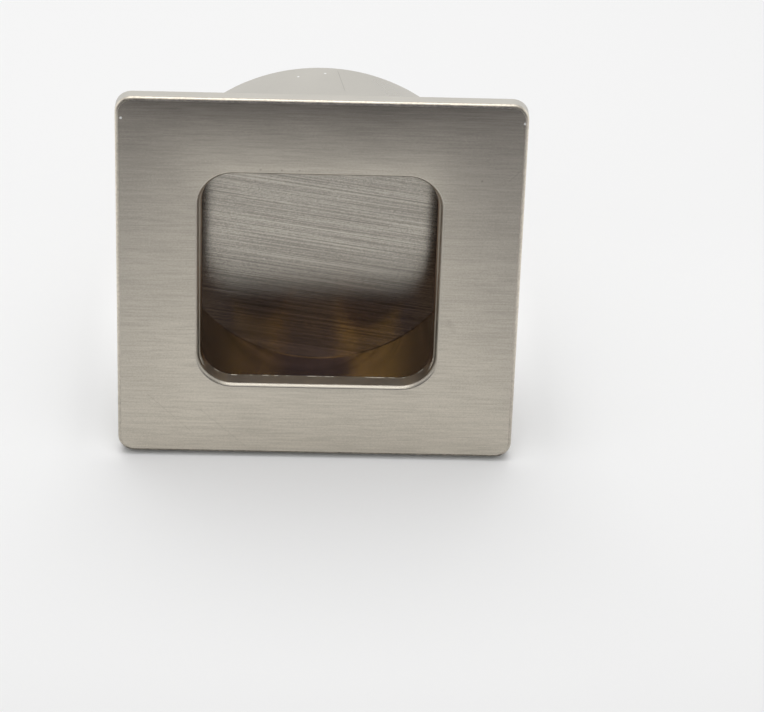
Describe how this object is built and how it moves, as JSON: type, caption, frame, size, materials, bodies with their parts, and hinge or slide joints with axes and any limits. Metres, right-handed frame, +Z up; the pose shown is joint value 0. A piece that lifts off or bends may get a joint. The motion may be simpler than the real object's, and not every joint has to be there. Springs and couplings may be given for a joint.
{
  "type": "recessed cabinet pull",
  "caption": "Square recessed cabinet pull: brushed face plate with a rounded window over a round finger cup, cast with a barrel that sits in a drilled hole.",
  "frame": {"origin": "on the barrel's axis, in the plane of the face plate's back (seating) face", "axes": "+Y along the barrel into the door, -Y out of the window towards the user, +Z up, +X to the right seen from the front"},
  "size_m": [0.06, 0.0192, 0.06],
  "materials": {
    "nickel_body": "brushed satin nickel plate on zinc",
    "brushed_disc": "coarsely brushed nickel plate on steel sheet"
  },
  "bodies": {
    "root": {"pull_body": "nickel_body", "back_disc": "brushed_disc"}
  },
  "joints": []
}
